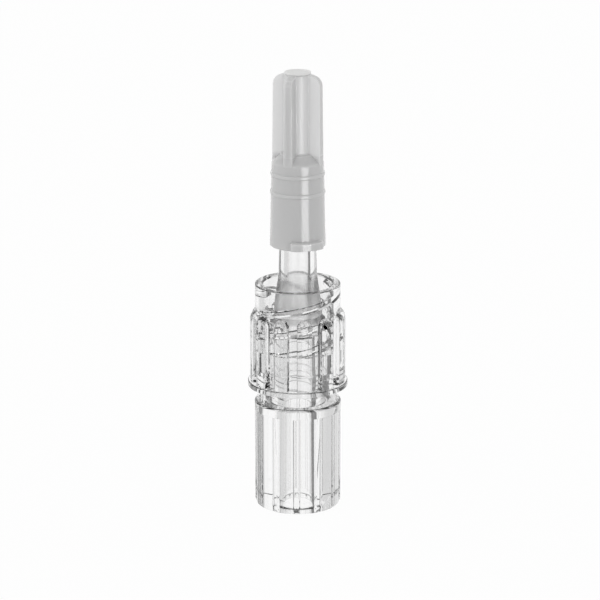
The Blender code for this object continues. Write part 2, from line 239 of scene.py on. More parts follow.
def lathe(name: str, points: Sequence[tuple[Vector, Skin]], angles: Sequence[float],
          closed: bool) -> bpy.types.Object:
    """Turn a profile into a mesh object with a skin number on every point.

    Args:
        name: The object's name.
        points: The profile and its skins.
        angles: The directions of the mesh's lines, in radians.
        closed: Whether the profile is a loop. An open one starts and ends on the axis.

    Returns:
        The new object, in metres.
    """
    made = bmesh.new()
    mark = made.verts.layers.int.new("skin")
    rings = []
    for point, skin in points:
        radius, height = point.x * MM, point.y * MM
        if radius < 1e-9:
            ring = [made.verts.new((0.0, 0.0, height))] * len(angles)
        else:
            ring = [made.verts.new((radius * math.cos(a), radius * math.sin(a), height)) for a in angles]
        for vertex in ring:
            vertex[mark] = skin.value
        rings.append(ring)
    following = rings[1:] + rings[:1] if closed else rings[1:]
    for low, high in zip(rings, following):
        for here in range(len(angles)):
            there = (here + 1) % len(angles)
            corners = (low[here], low[there], high[there], high[here])
            made.faces.new(dict.fromkeys(corners))
    bmesh.ops.recalc_face_normals(made, faces=made.faces)
    mesh = bpy.data.meshes.new(name)
    made.to_mesh(mesh)
    made.free()
    mesh.update()
    thing = bpy.data.objects.new(name, mesh)
    bpy.context.scene.collection.objects.link(thing)
    return thing


def helical_skin(radius: float, bottom: float, top: float, lead: float, levels: Sequence[float],
                 angles: Sequence[float], skin: Skin) -> bmesh.types.BMesh:
    """Line a bore with rows that climb with a thread, so that its edges follow the mesh.

    Args:
        radius: The bore's radius.
        bottom: The lowest level of the lining.
        top: The highest level of the lining.
        lead: How far the rows climb in one turn.
        levels: The rows' levels in the direction zero, ascending, spaced alike in every turn.
        angles: The directions of the mesh's lines, in radians, ascending and less than a turn apart.
        skin: The skin that the lining belongs to.

    Returns:
        The lining in metres, with its ends cut level.
    """
    made = bmesh.new()
    mark = made.verts.layers.int.new("skin")
    rings = [*angles, angles[0] + math.tau]
    columns = []
    for angle in rings:
        column = []
        for level in levels:
            height = min(max(level + lead * angle / math.tau, bottom), top)
            spot = (radius * math.cos(angle) * MM, radius * math.sin(angle) * MM, height * MM)
            if column and column[-1].co.z == Vector(spot).z:
                column.append(column[-1])
                continue
            column.append(made.verts.new(spot))
            column[-1][mark] = skin.value
        columns.append(column)
    for left, right in zip(columns, columns[1:]):
        for row in range(len(levels) - 1):
            corners = list(dict.fromkeys((left[row], right[row], right[row + 1], left[row + 1])))
            if len(corners) > 2:
                made.faces.new(corners)
    return made


def fan(count: int, phase: float, offsets: Sequence[float]) -> list[float]:
    """Directions that repeat round the axis, with lines where the relief has its edges.

    Args:
        count: How many times the pattern repeats.
        phase: The direction of its first middle, in radians.
        offsets: The angles from each middle, in degrees, on one side.

    Returns:
        Sorted directions in radians.
    """
    both = sorted({side * offset for offset in offsets for side in (-1, 1)})
    if abs(both[0] + 180 / count) < 1e-6:
        both = both[1:]
    middles = [phase + math.tau * index / count for index in range(count)]
    return [middle + math.radians(offset) for middle in middles for offset in both]


def weld(thing: bpy.types.Object, part: bmesh.types.BMesh) -> None:
    """Join a bmesh to an object along the edges where they meet.

    Args:
        thing: The object that takes it in.
        part: The bmesh, in metres, with the same layers. It is freed.
    """
    spare = bpy.data.meshes.new("spare")
    part.to_mesh(spare)
    part.free()
    whole = bmesh.new()
    whole.from_mesh(thing.data)
    whole.from_mesh(spare)
    bpy.data.meshes.remove(spare)
    bmesh.ops.remove_doubles(whole, verts=whole.verts, dist=WELD_DISTANCE * MM)
    bmesh.ops.recalc_face_normals(whole, faces=whole.faces)
    whole.to_mesh(thing.data)
    whole.free()
    thing.data.update()


class Relief:
    """A Geometry Nodes group that moves points of a turned skin along their radius."""

    def __init__(self, name: str, skin: Skin, inputs: dict[str, float]) -> None:
        """Open the group and read the place of each point.

        Args:
            name: The group's name.
            skin: The skin that it moves.
            inputs: Its named inputs with their values, lengths in millimetres.
        """
        self.tree = bpy.data.node_groups.new(name, "GeometryNodeTree")
        self.skin = skin
        self.values = inputs
        face = self.tree.interface
        face.new_socket(name="Geometry", in_out="INPUT", socket_type="NodeSocketGeometry")
        face.new_socket(name="Geometry", in_out="OUTPUT", socket_type="NodeSocketGeometry")
        face.new_socket(name="Material", in_out="INPUT", socket_type="NodeSocketMaterial")
        for key in inputs:
            face.new_socket(name=key, in_out="INPUT", socket_type="NodeSocketFloat")
        self.source = add_node(self.tree, "NodeGroupInput")
        place = add_node(self.tree, "GeometryNodeInputPosition")
        scaled = add_node(self.tree, "ShaderNodeVectorMath", {0: place.outputs[0], "Scale": 1 / MM},
                          operation="SCALE")
        parts = add_node(self.tree, "ShaderNodeSeparateXYZ", {0: scaled.outputs[0]})
        self.x, self.y, self.height = (Field(self.tree, output) for output in parts.outputs)
        self.radius = (self.x * self.x + self.y * self.y).math("SQRT")
        self.angle = self.y.math("ARCTAN2", self.x)

    def value(self, name: str) -> Field:
        """Return a named input of the group.

        Args:
            name: The input's name.

        Returns:
            The input as a field.
        """
        return Field(self.tree, self.source.outputs[name])

    def turned_from(self, count: float, phase: Field) -> Field:
        """Angle from the nearest of evenly spaced directions.

        Args:
            count: How many directions there are.
            phase: The first direction, in radians.

        Returns:
            The signed angle in radians.
        """
        half = math.pi / count
        return (self.angle - phase).math("WRAP", half, -half)

    def apply(self, thing: bpy.types.Object, radius: Field, material: bpy.types.Material) -> None:
        """Finish the group, run it on an object and keep the result as a plain mesh.

        Args:
            thing: The turned object.
            radius: The new radius of each point of the skin.
            material: The finish that the result gets.
        """
        scale = radius / self.radius
        moved = add_node(self.tree, "ShaderNodeCombineXYZ",
                         {0: self.x * scale * MM, 1: self.y * scale * MM, 2: self.height * MM})
        mark = add_node(self.tree, "GeometryNodeInputNamedAttribute", {"Name": "skin"}, data_type="INT")
        chosen = add_node(self.tree, "FunctionNodeCompare", {2: mark.outputs[0], 3: self.skin.value},
                          data_type="INT", operation="EQUAL")
        shift = add_node(self.tree, "GeometryNodeSetPosition",
                         {"Geometry": self.source.outputs["Geometry"], "Selection": chosen.outputs[0],
                          "Position": moved.outputs[0]})
        real = add_node(self.tree, "GeometryNodeRealizeInstances", {"Geometry": shift.outputs[0]})
        finish = add_node(self.tree, "GeometryNodeSetMaterial",
                          {"Geometry": real.outputs[0], "Material": self.source.outputs["Material"]})
        add_node(self.tree, "NodeGroupOutput", {"Geometry": finish.outputs[0]})
        modifier = thing.modifiers.new(self.tree.name, "NODES")
        modifier.node_group = self.tree
        chosen_values = {**self.values, "Material": material}
        for item in self.tree.interface.items_tree:
            if item.item_type == "SOCKET" and item.in_out == "INPUT" and item.name in chosen_values:
                modifier[item.identifier] = chosen_values[item.name]
        thing.update_tag()
        evaluated = thing.evaluated_get(bpy.context.evaluated_depsgraph_get())
        plain = bpy.data.meshes.new_from_object(evaluated)
        thing.modifiers.remove(modifier)
        plain.name = thing.name
        thing.data = plain


def shade(thing: bpy.types.Object, angle: float = 32.0) -> None:
    """Shade an object smooth and keep its real edges sharp.

    Args:
        thing: The object.
        angle: The angle in degrees above which an edge stays sharp.
    """
    thing.data.shade_smooth()
    thing.data.set_sharp_from_angle(angle=math.radians(angle))


@dataclass(frozen=True)
class ClearPlastic:
    """Water-clear moulded copolyester, polished, with the hub moulded in a fine matt grain.

    The flow of the melt leaves faint waves a millimetre or so apart. The matt band stands outside the
    lumen between its two heights and fades over the given edges.
    """

    tint: str = "fcfcfc"
    index: float = 1.56
    polish: float = 0.015
    grain: float = 0.34
    matt_from: float = 22.4
    matt_to: float = 28.4
    matt_inside: float = 1.75
    matt_edges: tuple[float, float, float] = (0.3, 1.6, 0.1)
    waves_per_mm: float = 0.9
    wave_detail: float = 3.0
    wave_roughness: float = 0.02
    dent_strength: float = 0.04
    dent_depth: float = 0.02

    def build(self, name: str, with_matt_hub: bool) -> bpy.types.Material:
        """Make the material.

        Args:
            name: What the material is.
            with_matt_hub: Whether the hub's grain is part of it.

        Returns:
            The material.
        """
        made = bpy.data.materials.new(name)
        made.use_nodes = True
        tree = made.node_tree
        surface = tree.nodes["Principled BSDF"]
        surface.inputs["Base Color"].default_value = linear(self.tint)
        surface.inputs["IOR"].default_value = self.index
        surface.inputs["Transmission Weight"].default_value = 1.0
        place = add_node(tree, "ShaderNodeTexCoord").outputs["Object"]
        waves = {"Vector": place, "Scale": self.waves_per_mm / MM, "Detail": self.wave_detail}
        flow = Field(tree, add_node(tree, "ShaderNodeTexNoise", waves).outputs["Fac"])
        roughness = flow * self.wave_roughness + self.polish
        if with_matt_hub:
            parts = add_node(tree, "ShaderNodeSeparateXYZ", {0: place})
            x, y, z = (Field(tree, output) for output in parts.outputs)
            height = z / MM
            away = (x * x + y * y).math("SQRT") / MM
            low, high, inner = self.matt_edges
            band = height.ramp(self.matt_from, self.matt_from + low) * height.ramp(self.matt_to, self.matt_to - high)
            outside = away.ramp(self.matt_inside, self.matt_inside + inner)
            roughness = roughness + band * outside * self.grain
        tree.links.new(roughness.socket, surface.inputs["Roughness"])
        dents = add_node(tree, "ShaderNodeBump", {"Height": flow, "Strength": self.dent_strength,
                                                  "Distance": self.dent_depth * MM})
        tree.links.new(dents.outputs[0], surface.inputs["Normal"])
        return made


@dataclass(frozen=True)
class GreyPlastic:
    """Translucent grey polyethylene with a satin moulded surface.

    Light spreads inside it. The base colour is painted paler on the fins' broad faces that face front or back
    and on the core than on the skirt, a painted stand-in for back light shining through the slender plastic,
    and a faint cloudiness runs through it all. The finger grip is the more matt part.
    """

    thick: str = "d5d5d5"
    # Painted back light: the paler base colour painted on the fins' broad faces that face front or back.
    painted_backlight: str = "f0f0f0"
    # Painted back light: the core's base colour, painted paler than the skirt's grey.
    core: str = "f0f0f0"
    thin_from: float = 1.62
    thin_to: float = 1.85
    foot: float = 41.2
    foot_fade: float = 1.2
    flank_lean: tuple[float, float] = (0.85, 0.55)
    # How squarely a face must point front or back, along the object's Y axis, to get the painted back light.
    painted_front_facing: tuple[float, float] = (0.45, 0.8)
    clouds_per_mm: float = 0.35
    cloud_detail: float = 4.0
    cloudiness: float = 0.16
    grip_roughness: float = 0.2
    roughness: float = 0.14
    index: float = 1.66
    subsurface: float = 1.0
    spread: float = 1.0

    def build(self, name: str) -> bpy.types.Material:
        """Make the material.

        Args:
            name: What the material is.

        Returns:
            The material.
        """
        made = bpy.data.materials.new(name)
        made.use_nodes = True
        tree = made.node_tree
        surface = tree.nodes["Principled BSDF"]
        place = add_node(tree, "ShaderNodeTexCoord").outputs["Object"]
        parts = add_node(tree, "ShaderNodeSeparateXYZ", {0: place})
        x, y, z = (Field(tree, output) for output in parts.outputs)
        away = (x * x + y * y).math("SQRT") / MM
        height = z / MM
        facing = add_node(tree, "ShaderNodeNewGeometry").outputs["True Normal"]
        lean = add_node(tree, "ShaderNodeSeparateXYZ", {0: facing})
        lean_x, lean_y = (Field(tree, output) for output in lean.outputs[:2])
        across = (x * lean_x + y * lean_y) / MM / away
        # Painted back light mask: broad fin faces that point front or back, fixed to the object's axes.
        painted_backlit_flats = across.math("ABSOLUTE").ramp(*self.flank_lean) * lean_y.math("ABSOLUTE").ramp(*self.painted_front_facing)
        grip = height.ramp(self.foot, self.foot + self.foot_fade)
        fins = away.ramp(self.thin_from, self.thin_to) * grip
        painted_backlight_web = fins * painted_backlit_flats
        clouds = {"Vector": place, "Scale": self.clouds_per_mm / MM, "Detail": self.cloud_detail}
        cloud = Field(tree, add_node(tree, "ShaderNodeTexNoise", clouds).outputs["Fac"])
        # Share of the painted back light colour, with the cloudiness's random tone added.
        share = painted_backlight_web + (cloud - 0.5) * self.cloudiness
        # The skirt keeps the plastic's own grey; the core above the foot gets the painted paler colour.
        skirt_or_painted_core = add_node(tree, "ShaderNodeMix", {"Factor": grip - fins, "A": linear(self.thick),
                                                 "B": linear(self.core)}, data_type="RGBA")
        mix = add_node(tree, "ShaderNodeMix", {"Factor": share, "A": skirt_or_painted_core.outputs["Result"],
                                               "B": linear(self.painted_backlight)}, data_type="RGBA")
        tree.links.new(mix.outputs["Result"], surface.inputs["Base Color"])
        tree.links.new((grip * self.grip_roughness + self.roughness).socket, surface.inputs["Roughness"])
        surface.inputs["IOR"].default_value = self.index
        surface.inputs["Subsurface Weight"].default_value = self.subsurface
        surface.inputs["Subsurface Radius"].default_value = (1.0, 1.0, 1.0)
        surface.inputs["Subsurface Scale"].default_value = self.spread * MM
        return made


@dataclass(frozen=True)
class WhiteMembrane:
    """White porous filter membrane: dead matt, with a fine fibrous grain."""

    colour: str = "fcfcfb"
    roughness: float = 0.85
    pores_per_mm: float = 9.0
    pore_detail: float = 5.0
    pore_strength: float = 0.25
    pore_depth: float = 0.03

    def build(self, name: str) -> bpy.types.Material:
        """Make the material.

        Args:
            name: What the material is.

        Returns:
            The material.
        """
        made = bpy.data.materials.new(name)
        made.use_nodes = True
        tree = made.node_tree
        surface = tree.nodes["Principled BSDF"]
        surface.inputs["Base Color"].default_value = linear(self.colour)
        surface.inputs["Roughness"].default_value = self.roughness
        place = add_node(tree, "ShaderNodeTexCoord").outputs["Object"]
        grain = {"Vector": place, "Scale": self.pores_per_mm / MM, "Detail": self.pore_detail}
        pores = add_node(tree, "ShaderNodeTexNoise", grain)
        bump = add_node(tree, "ShaderNodeBump", {"Height": pores.outputs["Fac"], "Strength": self.pore_strength,
                                                 "Distance": self.pore_depth * MM})
        tree.links.new(bump.outputs[0], surface.inputs["Normal"])
        return made


@dataclass
class LuerBody:
    """The one-piece clear moulding from the tube socket up to the luer cone."""

    barrel_radius: float = 4.85
    barrel_length: float = 11.6
    flange_radius: float = 5.04
    flange_top: float = 12.72
    ledge_radius: float = 3.20
    ledge_top: float = 14.40
    journal_radius: float = 2.90
    shoulder_radius: float = 3.22
    shoulder_bottom: float = 21.90
    shoulder_top: float = 22.65
    hub_radius: float = 2.70
    hub_bottom: float = 23.10
    hub_top: float = 24.05
    cone_base: float = 28.25
    cone_tip: float = 35.95
    cone_tip_radius: float = 1.975
    taper: float = 0.03
    socket_radius: float = 1.76
    socket_end_radius: float = 1.60
    socket_depth: float = 20.6
    lumen_base: float = 1.30
    lumen_tip: float = 1.16
    rib_count: int = 12
    rib_height: float = 0.15
    rib_tip: float = 0.45
    rib_root: float = 0.92
    rib_angle: float = math.radians(-91.5)
    foot_chamfer: float = 0.08
    flange_edge: float = 0.2
    recess_width: float = 0.5
    recess_depth: float = 0.22
    tip_bevel: float = 0.15
    socket_funnel: float = 0.20
    socket_lead_in: float = 0.14
    flare_steps: int = 12
    step: float = 0.3
    lines: tuple[float, ...] = (0, 1.8, 3.2, 3.7, 4.2, 4.7, 5.2, 6.0, 8.2, 11.5, 15)

    def flare(self) -> list[Corner]:
        """Return the smooth foot between the hub and the cone."""
        end = self.cone_tip_radius + self.taper * (self.cone_tip - self.cone_base)
        corners = []
        for index in range(self.flare_steps + 1):
            share = index / self.flare_steps
            blend = share * share * (3 - 2 * share)
            height = self.hub_top + (self.cone_base - self.hub_top) * share
            corners.append(Corner(self.hub_radius + (end - self.hub_radius) * blend, height))
        return corners

    def profile(self) -> list[Corner]:
        """Return the corners of the body's section, up the outside and down the bore."""
        recess_floor = self.flange_top - self.recess_depth
        recess_edge = self.ledge_radius + self.recess_width
        return [
            Corner(self.barrel_radius - self.foot_chamfer, 0.0, 0.02),
            Corner(self.barrel_radius, self.foot_chamfer, 0.02, Skin.RIBBED),
            Corner(self.barrel_radius, self.barrel_length, 0.03, Skin.RIBBED),
            Corner(self.flange_radius, self.barrel_length, 0.05),
            Corner(self.flange_radius, self.flange_top - self.flange_edge, 0.10),
            Corner(self.flange_radius - self.flange_edge, self.flange_top, 0.10),
            Corner(recess_edge, self.flange_top, 0.12),
            Corner(recess_edge - self.recess_depth, recess_floor, 0.12),
            Corner(self.ledge_radius, recess_floor, 0.26),
            Corner(self.ledge_radius, self.ledge_top, 0.06),
            Corner(self.journal_radius, self.ledge_top, 0.08),
            Corner(self.journal_radius, self.shoulder_bottom, 0.02),
            Corner(self.shoulder_radius, self.shoulder_bottom, 0.03),
            Corner(self.shoulder_radius, self.shoulder_top, 0.08),
            Corner(self.hub_radius, self.hub_bottom, 0.12),
            *self.flare(),
            Corner(self.cone_tip_radius + self.taper * self.tip_bevel, self.cone_tip - self.tip_bevel, 0.08),
            Corner(self.cone_tip_radius - self.tip_bevel, self.cone_tip, 0.06),
            Corner(self.lumen_tip, self.cone_tip, 0.05),
            Corner(self.lumen_base, self.socket_depth + self.socket_funnel, 0.05),
            Corner(self.socket_end_radius, self.socket_depth, 0.05),
            Corner(self.socket_radius, self.socket_lead_in, 0.06),
            Corner(self.socket_radius + self.socket_lead_in, 0.0, 0.05),
        ]

    def ribs(self) -> tuple[Relief, Field]:
        """Return the barrel's fine ribs and the radius they give the skin."""
        relief = Relief("barrel_ribs", Skin.RIBBED, {
            "Barrel Radius": self.barrel_radius, "Height": self.rib_height, "Half Tip": self.rib_tip / 2,
            "Half Root": self.rib_root / 2, "Phase": self.rib_angle, "Foot": self.foot_chamfer})
        turn = relief.turned_from(self.rib_count, relief.value("Phase")).math("ABSOLUTE")
        across = turn * relief.value("Barrel Radius")
        bar = across.ramp(relief.value("Half Root"), relief.value("Half Tip"))
        lift = (relief.height - relief.value("Foot")).math("MAXIMUM", 0.0).math("MINIMUM", relief.value("Height"))
        raised = relief.value("Barrel Radius") + bar * lift
        return relief, relief.radius.math("MAXIMUM", raised)

    def build(self, material: bpy.types.Material) -> bpy.types.Object:
        """Make the body.

        Args:
            material: Its finish.

        Returns:
            The finished object.
        """
        angles = fan(self.rib_count, self.rib_angle, self.lines)
        made = lathe("luer_body_moulding", outline(self.profile(), True, self.step), angles, True)
        relief, radius = self.ribs()
        relief.apply(made, radius, material)
        shade(made)
        return made


@dataclass
class LockCollar:
    """The clear threaded collar that turns on the body's journal."""

    bottom: float = 14.45
    height: float = 12.25
    radius: float = 4.94
    flange_radius: float = 5.81
    flange_thickness: float = 0.65
    floor: float = 16.40
    hole_radius: float = 3.00
    lower_bore: float = 3.48
    major_radius: float = 4.0
    thread_height: float = 0.5
    thread_root: float = 0.90
    thread_crest: float = 0.40
    thread_starts: int = 2
    thread_lead: float = 5.0
    thread_depth: float = 7.8
    first_below_rim: float = 0.62
    start_angle: float = math.radians(34)
    grip_count: int = 12
    grip_height: float = 0.59
    grip_width: float = 1.65
    grip_slope: float = 0.10
    grip_below_rim: float = 3.25
    grip_crown: float = 1.1
    grip_angle: float = math.radians(-81.5)
    groove: float = 0.14
    groove_drop: float = 0.4
    mouth_bevel: float = 0.17
    lining_turns: tuple[int, int] = (-7, 5)
    step: float = 0.13
    lines: tuple[float, ...] = (0, 1.3, 2.6, 3.9, 5.1, 6.1, 7.0, 7.7, 8.25, 8.6, 9.0, 9.6, 11.2, 13.1, 15)

    def profile(self) -> list[Corner]:
        """Return the corners of the collar's section, from the thread's foot round to its mouth."""
        rim = self.bottom + self.height
        flange_top = self.bottom + self.flange_thickness
        groove_top = rim - self.grip_below_rim - self.groove_drop
        return [
            Corner(self.major_radius, rim - self.thread_depth),
            Corner(self.lower_bore, rim - self.thread_depth, 0.05),
            Corner(self.lower_bore, self.floor, 0.08),
            Corner(self.hole_radius, self.floor, 0.05),
            Corner(self.hole_radius, self.bottom, 0.05),
            Corner(self.flange_radius, self.bottom, 0.14),
            Corner(self.flange_radius, flange_top, 0.14),
            Corner(self.radius - self.groove, flange_top, 0.08, Skin.RIBBED),
            Corner(self.radius - self.groove, groove_top - self.groove, 0.1, Skin.RIBBED),
            Corner(self.radius, groove_top, 0.1, Skin.RIBBED),
            Corner(self.radius, rim - self.grip_below_rim + 0.05),
            Corner(self.radius, rim, 0.14),
            Corner(self.major_radius + self.mouth_bevel, rim, 0.06),
            Corner(self.major_radius, rim - self.mouth_bevel),
        ]

    def bore_lining(self, angles: Sequence[float]) -> bmesh.types.BMesh:
        """Return the threaded part of the bore, with rows along the thread's edges.

        Args:
            angles: The directions of the collar's mesh lines.

        Returns:
            The lining, in metres.
        """
        rim = self.bottom + self.height
        pitch = self.thread_lead / self.thread_starts
        crest, root = self.thread_crest / 2, self.thread_root / 2
        # Rows on both sides of a ridge's middle: close together at its edges, wide apart between ridges.
        side = (0.0, crest * 0.6, crest - 0.03, crest, (crest + root) / 2, root, root + 0.03, root + 0.15, 0.8, 1.05)
        offsets = sorted({sign * offset for offset in side for sign in (-1, 1)} | {pitch / 2})
        zero = rim - self.first_below_rim - self.start_angle / math.tau * self.thread_lead
        levels = [zero + turn * pitch + offset for turn in range(*self.lining_turns) for offset in offsets]
        return helical_skin(self.major_radius, rim - self.thread_depth, rim - self.mouth_bevel, self.thread_lead,
                            levels, angles, Skin.THREADED)

    def grips(self) -> tuple[Relief, Field]:
        """Return the broad ribs with arched heads and the radius they give the skin."""
        head = self.bottom + self.height - self.grip_below_rim
        relief = Relief("grip_ribs", Skin.RIBBED, {
            "Tip Radius": self.radius + self.grip_height, "Wall Radius": self.radius,
            "Half Width": self.grip_width / 2, "Slope": self.grip_slope, "Head": head, "Crown": self.grip_crown,
            "Phase": self.grip_angle})
        half, slope = relief.value("Half Width"), relief.value("Slope")
        turn = relief.turned_from(self.grip_count, relief.value("Phase")).math("ABSOLUTE")
        across = turn * relief.value("Tip Radius")
        above = (relief.height - (relief.value("Head") - half)).math("MAXIMUM", 0.0)
        reach = (across * across + above * above).math("SQRT")
        bar = reach.ramp(half + slope, half)
        rise = (relief.height - (relief.value("Head") - relief.value("Crown"))) / relief.value("Crown")
        rise = rise.math("MAXIMUM", 0.0).math("MINIMUM", 1.0)
        crown = (rise * rise * -1.0 + 1.0).math("SQRT")
        tip = relief.value("Wall Radius") + (relief.value("Tip Radius") - relief.value("Wall Radius")) * crown
        return relief, relief.radius + (tip - relief.radius).math("MAXIMUM", 0.0) * bar

    def thread(self) -> tuple[Relief, Field]:
        """Return the two-start right-hand thread and the radius it gives the bore."""
        first = self.bottom + self.height - self.first_below_rim
        relief = Relief("lock_thread", Skin.THREADED, {
            "Lead": self.thread_lead, "Starts": self.thread_starts, "Height": self.thread_height,
            "Half Root": self.thread_root / 2, "Half Crest": self.thread_crest / 2,
            "First Level": first, "Start Angle": self.start_angle, "Run Out": 0.03})
        pitch = relief.value("Lead") / relief.value("Starts")
        turns = (relief.angle - relief.value("Start Angle")) / math.tau
        along = relief.height - relief.value("First Level") - turns * relief.value("Lead")
        away = along.math("WRAP", pitch * 0.5, pitch * -0.5)
        ridge = away.math("ABSOLUTE").ramp(relief.value("Half Root"), relief.value("Half Crest"), "LINEAR")
        level = relief.height - away
        begun = level.ramp(relief.value("First Level") + relief.value("Run Out"), relief.value("First Level"))
        return relief, relief.radius - ridge * begun * relief.value("Height")

    def build(self, material: bpy.types.Material) -> bpy.types.Object:
        """Make the collar.

        Args:
            material: Its finish.

        Returns:
            The finished object.
        """
        angles = fan(self.grip_count, self.grip_angle, self.lines)
        made = lathe("lock_collar_moulding", outline(self.profile(), False, self.step), angles, False)
        weld(made, self.bore_lining(angles))
        for relief, radius in (self.grips(), self.thread()):
            relief.apply(made, radius, material)
        shade(made)
        return made


@dataclass
class VentCap:
    """The translucent grey cap with its taper socket, lock lugs, rings and four finger fins."""

    mouth: float = 31.25
    mouth_radius: float = 3.22
    shoulder_radius: float = 2.98
    skirt_length: float = 9.8
    shoulder_height: float = 1.05
    core_radius: float = 1.55
    length: float = 19.92
    ring_levels: tuple[float, float] = (6.3, 8.45)
    ring_height: float = 0.11
    ring_half: float = 0.25
    fin_count: int = 4
    fin_foot_radius: float = 2.97
    fin_top_radius: float = 2.87
    fin_foot_thickness: float = 1.08
    fin_top_thickness: float = 0.86
    fin_corner: float = 1.15
    fin_below_top: float = 0.12
    fin_angle: float = math.radians(-113)
    lug_radius: float = 3.87
    lug_height: float = 1.05
    lug_span: float = math.radians(62)
    lug_angle: float = math.radians(-71)
    bore_mouth: float = 2.156
    bore_top: float = 1.988
    bore_depth: float = 5.6
    vent_radius: float = 0.65
    shoulder_foot: float = 0.38
    shoulder_drop: float = 0.05
    top_bevel: tuple[float, float] = (0.05, 0.06)
    ring_turn: int = 18
    fin_sink: float = 0.6
    fin_fillet: float = 0.16
    lug_side: float = math.radians(2.2)
    lug_edge: float = 0.12
    lug_gap: float = 0.2
    step: float = 0.16
    lines: tuple[float, ...] = (0, 3, 6, 7.5, 8.5, 9.5, 10.5, 11.5, 12.5, 13.5, 14.5, 15.5, 16.5, 18, 20, 22.5,
                                25.5, 28.5, 31.5, 34.5, 37.5, 40, 42.5, 45)

    def skirt(self, level: float) -> float:
        """Return the skirt's outside radius at a height above the mouth."""
        return self.mouth_radius + (self.shoulder_radius - self.mouth_radius) * level / self.skirt_length

    def profile(self) -> list[Corner]:
        """Return the corners of the cap's section, up the outside and down the bore."""
        shoulder, top = self.mouth + self.skirt_length, self.mouth + self.length
        shoulder_top = shoulder + self.shoulder_height
        bevel_width, bevel_drop = self.top_bevel
        lug_end = self.lug_height + self.lug_gap
        rings = []
        for level in self.ring_levels:
            for turn in range(-90, 91, self.ring_turn):
                out = self.ring_height * math.cos(math.radians(turn))
                lift = self.ring_half * math.sin(math.radians(turn))
                rings.append(Corner(self.skirt(level) + out, self.mouth + level + lift))
        return [
            Corner(self.mouth_radius, self.mouth, 0.15, Skin.LUGGED),
            Corner(self.skirt(lug_end), self.mouth + lug_end),
            *rings,
            Corner(self.shoulder_radius, shoulder, 0.12, Skin.RIBBED),
            Corner(self.core_radius + self.shoulder_foot, shoulder_top - self.shoulder_drop, 0.14, Skin.RIBBED),
            Corner(self.core_radius, shoulder_top, 0.12, Skin.RIBBED),
            Corner(self.core_radius, top - bevel_drop, 0.0, Skin.RIBBED),
            Corner(self.core_radius - bevel_width, top, 0.03),
            Corner(self.vent_radius, top, 0.03),
            Corner(self.vent_radius, self.mouth + self.bore_depth, 0.05),
            Corner(self.bore_top, self.mouth + self.bore_depth, 0.05),
            Corner(self.bore_mouth, self.mouth, 0.1),
        ]

    def fins(self) -> tuple[Relief, Field]:
        """Return the cross of drafted fins and the radius they give the core."""
        foot = self.mouth + self.skirt_length - self.fin_sink
        head = self.mouth + self.length - self.fin_below_top
        relief = Relief("finger_fins", Skin.RIBBED, {
            "Foot": foot, "Head": head, "Foot Radius": self.fin_foot_radius, "Top Radius": self.fin_top_radius,
            "Foot Half": self.fin_foot_thickness / 2, "Top Half": self.fin_top_thickness / 2,
            "Corner": self.fin_corner, "Phase": self.fin_angle, "Fillet": self.fin_fillet})
        share = (relief.height - relief.value("Foot")) / (relief.value("Head") - relief.value("Foot"))
        tip = relief.value("Foot Radius") + (relief.value("Top Radius") - relief.value("Foot Radius")) * share
        half = relief.value("Foot Half") + (relief.value("Top Half") - relief.value("Foot Half")) * share
        corner = relief.value("Corner")
        rise = (relief.height - (relief.value("Head") - corner)).math("MAXIMUM", 0.0).math("MINIMUM", corner)
        tip = tip - corner + (corner * corner - rise * rise).math("SQRT")
        turn = relief.turned_from(self.fin_count, relief.value("Phase"))
        flank = half / turn.math("SINE").math("ABSOLUTE").math("MAXIMUM", 0.001)
        plate = (tip / turn.math("COSINE")).math("SMOOTH_MIN", flank, relief.value("Fillet"))
        return relief, relief.radius.math("SMOOTH_MAX", plate, relief.value("Fillet") * 0.6)

    def lugs(self) -> tuple[Relief, Field]:
        """Return the two lock lugs and the radius they give the mouth."""
        relief = Relief("lock_lugs", Skin.LUGGED, {
            "Lug Radius": self.lug_radius, "Half Span": self.lug_span / 2, "Phase": self.lug_angle,
            "Mouth": self.mouth, "Height": self.lug_height, "Side": self.lug_side, "Edge": self.lug_edge})
        turn = relief.turned_from(2, relief.value("Phase")).math("ABSOLUTE")
        bar = turn.ramp(relief.value("Half Span") + relief.value("Side"), relief.value("Half Span"))
        level = relief.height - relief.value("Mouth")
        top, edge = relief.value("Height"), relief.value("Edge")
        slab = level.ramp(0.0, edge) * level.ramp(top, top - edge)
        return relief, relief.radius + (relief.value("Lug Radius") - relief.radius) * bar * slab

    def build(self, material: bpy.types.Material) -> bpy.types.Object:
        """Make the cap.

        Args:
            material: Its finish.

        Returns:
            The finished object.
        """
        angles = fan(self.fin_count, self.fin_angle, self.lines)
        made = lathe("vent_cap_moulding", outline(self.profile(), True, self.step), angles, True)
        for relief, radius in (self.fins(), self.lugs()):
            relief.apply(made, radius, material)
        shade(made)
        return made


@dataclass
class VentFilter:
    """The dished porous disc on the top of the cap, over its vent."""

    top: float = 51.41
    radius: float = 1.50
    thickness: float = 0.22
    dish_radius: float = 1.18
    dish: float = 0.12
    dish_slope: float = 0.05
    step: float = 0.08
    line_count: int = 96

    def build(self, material: bpy.types.Material) -> bpy.types.Object:
        """Make the filter.

        Args:
            material: Its finish.

        Returns:
            The finished object.
        """
        bottom = self.top - self.thickness
        corners = [
            Corner(0.0, bottom),
            Corner(self.radius, bottom, 0.03),
            Corner(self.radius, self.top, 0.05),
            Corner(self.dish_radius + self.dish_slope, self.top, 0.04),
            Corner(self.dish_radius, self.top - self.dish, 0.05),
            Corner(0.0, self.top - self.dish),
        ]
        angles = [math.tau * index / self.line_count for index in range(self.line_count)]
        made = lathe("vent_filter_disc", outline(corners, False, self.step), angles, False)
        made.data.materials.append(material)
        shade(made)
        return made


@dataclass(frozen=True)
class Gap:
    """A darker part of the studio that shows only through clear plastic.

    It darkens from the start to the full direction and ends in the same way. Directions are in degrees
    from the far side of the object, positive to its right and past 180 behind the camera.
    """

    start: float
    full: float
    last: float
    end: float
    loss: float


